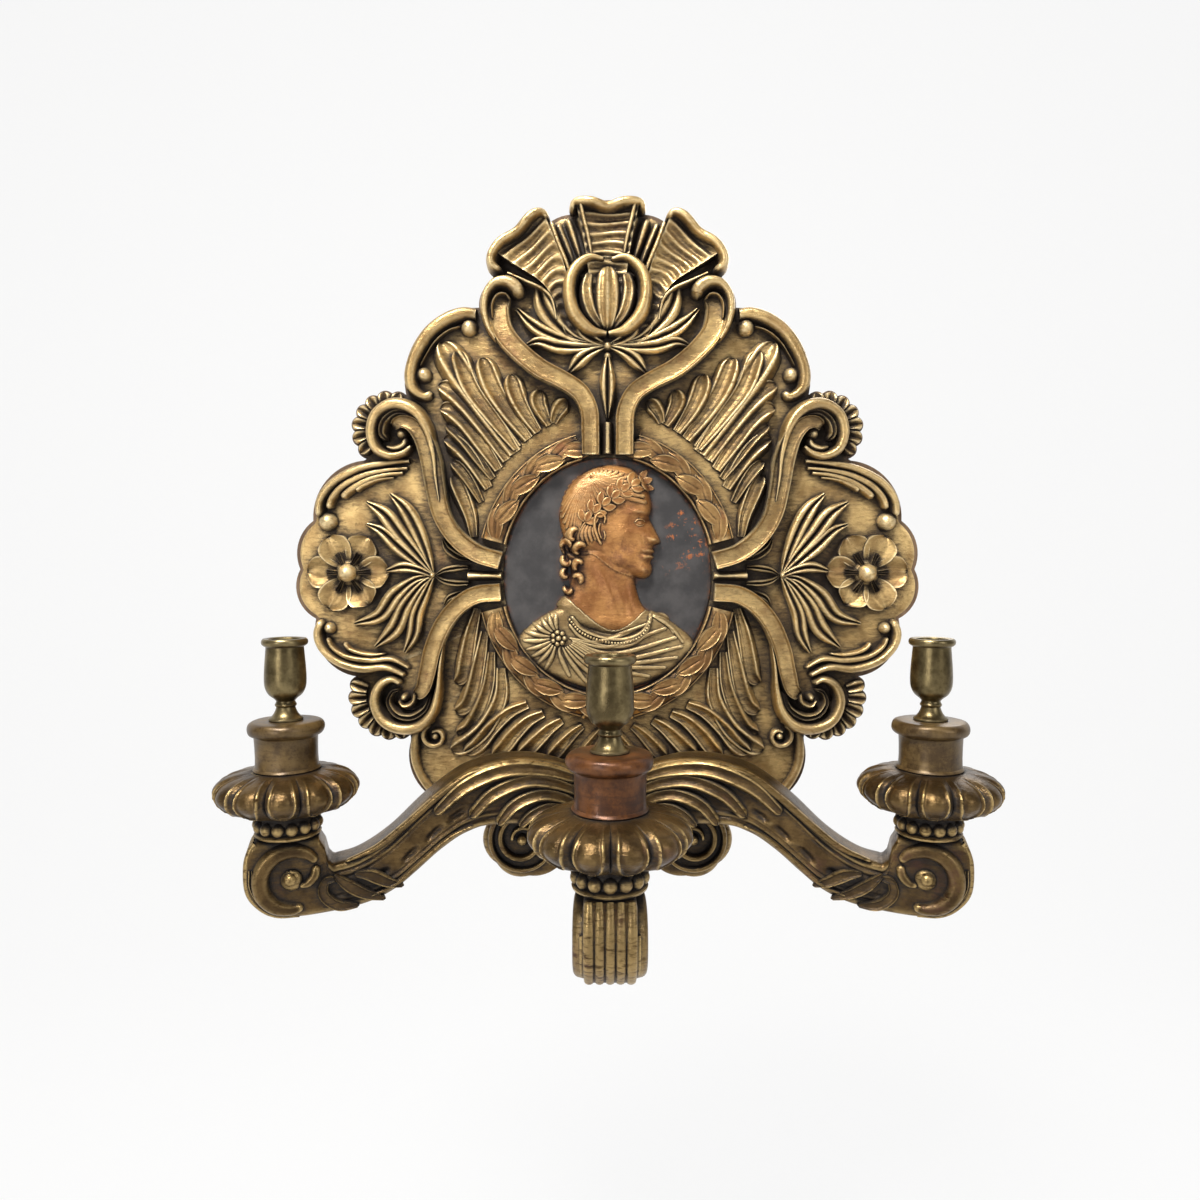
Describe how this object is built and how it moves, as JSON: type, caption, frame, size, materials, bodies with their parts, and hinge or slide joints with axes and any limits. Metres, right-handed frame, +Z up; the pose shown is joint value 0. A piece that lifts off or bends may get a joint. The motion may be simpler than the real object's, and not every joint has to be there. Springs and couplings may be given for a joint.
{
  "type": "girandole",
  "caption": "Carved wall girandole: lobed back with a portrait medallion in a laurel wreath, curved arms with drip pans and lift-out candle nozzles.",
  "frame": {"origin": "point of the wall plane behind the centre of the medallion", "axes": "+Z up, +X to the right seen from the front, +Y into the wall"},
  "size_m": [0.606, 0.287, 0.5806],
  "materials": {
    "gilt_wood": "antique dull gilding with dark wax in the recesses",
    "dark_gilt": "worn brown-bronze gilding over bole",
    "bust_bole": "gilding rubbed through to orange-brown bole",
    "plaque_paint": "charcoal paint, flaking",
    "aged_brass": "aged olive-brown",
    "plate_brass": "dull",
    "iron": "dark"
  },
  "bodies": {
    "root": {"arm_block": "dark_gilt", "arm_bolts": "iron", "arm_centre": "dark_gilt", "arm_left": "dark_gilt", "arm_right": "dark_gilt", "back_panel": "gilt_wood", "bead_collar_centre": "dark_gilt", "bead_collar_left": "dark_gilt", "bead_collar_right": "dark_gilt", "candle_drum_centre": "dark_gilt", "candle_drum_left": "dark_gilt", "candle_drum_right": "dark_gilt", "crest_husk_drop": "gilt_wood", "crest_leaf_spray": "gilt_wood", "crest_shell": "gilt_wood", "crest_strap_left": "gilt_wood", "crest_strap_right": "gilt_wood", "crest_tulip": "gilt_wood", "cup_rods": "iron", "drip_pan_centre": "dark_gilt", "drip_pan_left": "dark_gilt", "drip_pan_right": "dark_gilt", "hanging_plate": "plate_brass", "hanging_screws": "plate_brass", "laurel_wreath": "gilt_wood", "lower_fan_left": "gilt_wood", "lower_fan_right": "gilt_wood", "lower_rim_scroll_left": "gilt_wood", "lower_rim_scroll_right": "gilt_wood", "lower_strap_left": "gilt_wood", "lower_strap_right": "gilt_wood", "medallion_plaque": "plaque_paint", "palm_leaves_left": "gilt_wood", "palm_leaves_right": "gilt_wood", "portrait_bust": "bust_bole", "shoulder_scroll_left": "gilt_wood", "shoulder_scroll_right": "gilt_wood", "side_clasp_left": "gilt_wood", "side_clasp_right": "gilt_wood", "side_flower_left": "gilt_wood", "side_flower_right": "gilt_wood", "top_clasp": "gilt_wood", "upper_fan_left": "gilt_wood", "upper_fan_right": "gilt_wood", "upper_rim_scroll_left": "gilt_wood", "upper_rim_scroll_right": "gilt_wood", "upper_strap_left": "gilt_wood", "upper_strap_right": "gilt_wood"},
    "nozzle_left": {"nozzle_left": "aged_brass"},
    "nozzle_centre": {"nozzle_centre": "aged_brass"},
    "nozzle_right": {"nozzle_right": "aged_brass"}
  },
  "joints": [
    {"name": "nozzle_lift_left", "type": "slide", "parent": "root", "child": "nozzle_left", "axis": [0, 0, 1], "range_m": [0, 0.03]},
    {"name": "nozzle_lift_centre", "type": "slide", "parent": "root", "child": "nozzle_centre", "axis": [0, 0, 1], "range_m": [0, 0.03]},
    {"name": "nozzle_lift_right", "type": "slide", "parent": "root", "child": "nozzle_right", "axis": [0, 0, 1], "range_m": [0, 0.03]}
  ]
}
